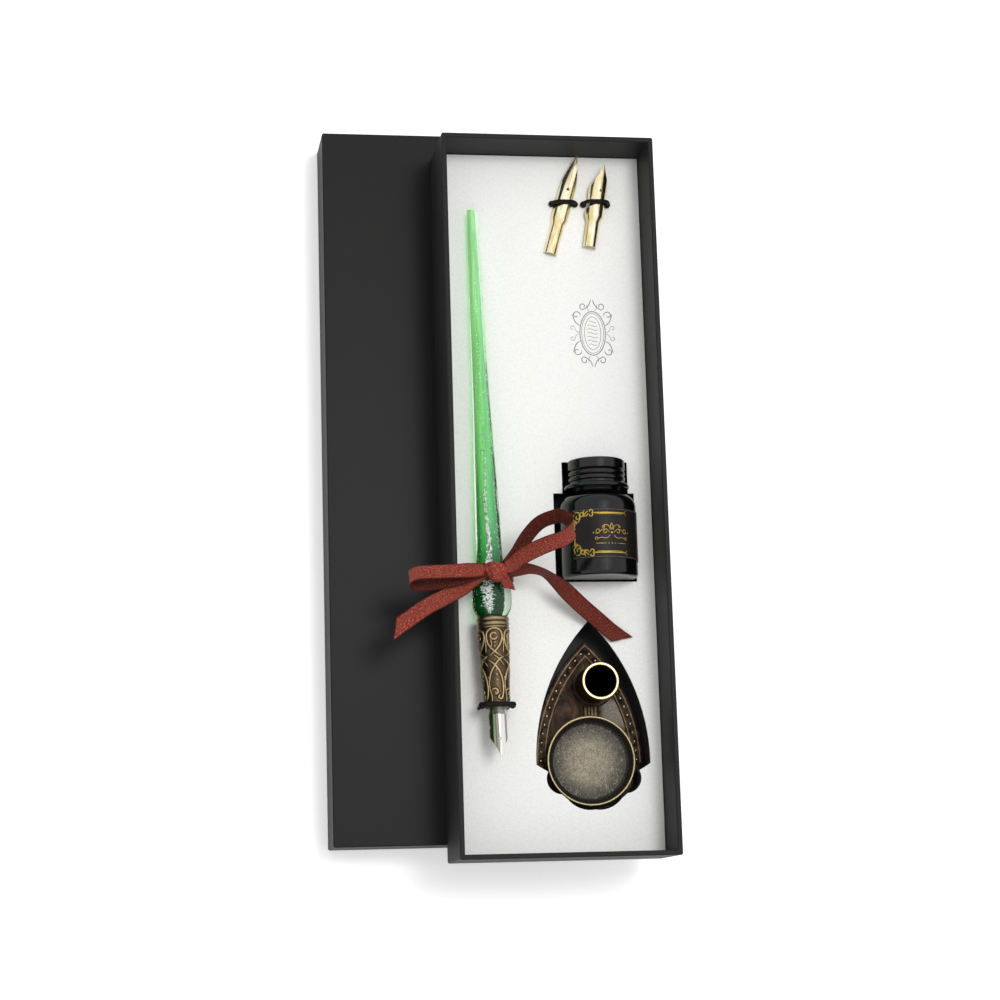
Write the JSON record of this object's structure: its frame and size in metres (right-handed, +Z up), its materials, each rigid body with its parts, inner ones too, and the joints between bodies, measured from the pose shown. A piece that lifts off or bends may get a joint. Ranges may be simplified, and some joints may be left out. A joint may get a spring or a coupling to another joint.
{
  "type": "calligraphy set box",
  "caption": "Shallow black rigid gift box on its lid, with a white card tray that holds a glass dip pen tied by a ribbon bow, spare nibs, an ink bottle and a pen stand with an ink dish",
  "frame": {"origin": "centre of the bottom of the whole set, at table level", "axes": "+Z up, +Y along the long side of the box from the pen nib towards the pen tail, +X from the lid towards the box"},
  "size_m": [0.132, 0.3008, 0.0782],
  "materials": {
    "box_paper": "matte",
    "lid_paper": "matte",
    "card_white": "matte",
    "foam": "matte",
    "satin_ribbon": "satin",
    "elastic": "matte",
    "pen_clear": "polished",
    "pen_green": "polished",
    "foil": "satin",
    "bronze": "satin",
    "holder_black": "gloss",
    "nib_steel": "polished",
    "nib_gold": "polished",
    "bottle_black": "gloss",
    "ink": "gloss",
    "label": "satin",
    "cap_black": "gloss",
    "liner": "matte",
    "stand_bronze": "satin",
    "stand_inlay": "satin",
    "stud_gold": "polished",
    "dish_bronze": "satin"
  },
  "bodies": {
    "lid": {"lid_shell": "lid_paper"},
    "box": {"base_shell": "box_paper"},
    "insert": {"insert_card": "card_white", "insert_foam": "foam", "ribbon_band": "satin_ribbon", "ribbon_knot": "satin_ribbon", "ribbon_loop_left": "satin_ribbon", "ribbon_loop_right": "satin_ribbon", "ribbon_tail_left": "satin_ribbon", "ribbon_tail_right": "satin_ribbon", "pen_elastic": "elastic", "nib_elastic_long": "elastic", "nib_elastic_short": "elastic"},
    "pen": {"pen_glass": "pen_clear", "pen_core": "pen_green", "pen_foil": "foil", "pen_collars": "bronze", "pen_ferrule": "bronze", "nib_holder": "holder_black"},
    "pen_nib": {"pen_nib": "nib_steel"},
    "bottle": {"bottle_glass": "bottle_black", "ink": "ink", "bottle_label": "label"},
    "cap": {"bottle_cap": "cap_black", "cap_liner": "liner"},
    "stand": {"stand_plate": "stand_bronze", "stand_inlay": "stand_inlay", "stand_tube": "stand_bronze", "stand_dish": "dish_bronze", "stand_studs": "stud_gold"},
    "spare_nib_long": {"spare_nib_long": "nib_gold"},
    "spare_nib_short": {"spare_nib_short": "nib_gold"}
  },
  "joints": [
    {"name": "base_lift", "type": "slide", "parent": "lid", "child": "box", "axis": [0, 0, 1], "range_m": [0, 0.08]},
    {"name": "insert_lift", "type": "slide", "parent": "box", "child": "insert", "axis": [0, 0, 1], "range_m": [0, 0.05]},
    {"name": "pen_slide", "type": "slide", "parent": "insert", "child": "pen", "axis": [-0.0173, 0.9999, 0], "range_m": [0, 0.021]},
    {"name": "nib_pull", "type": "slide", "parent": "pen", "child": "pen_nib", "axis": [0.0173, -0.9993, 0.0335], "range_m": [0, 0.02]},
    {"name": "bottle_lift", "type": "slide", "parent": "insert", "child": "bottle", "axis": [0, 0, 1], "range_m": [0, 0.05]},
    {"name": "cap_turn", "type": "hinge", "parent": "bottle", "child": "cap", "pos_m": [0.0408, 0.004, 0.0415], "axis": [0, 1, 0], "continuous": true},
    {"name": "stand_lift", "type": "slide", "parent": "insert", "child": "stand", "axis": [0, 0, 1], "range_m": [0, 0.05]},
    {"name": "nib_long_pull", "type": "slide", "parent": "insert", "child": "spare_nib_long", "axis": [-0.2817, -0.9595, 0], "range_m": [0, 0.028]},
    {"name": "nib_short_pull", "type": "slide", "parent": "insert", "child": "spare_nib_short", "axis": [-0.1685, -0.9857, 0], "range_m": [0, 0.024]}
  ]
}
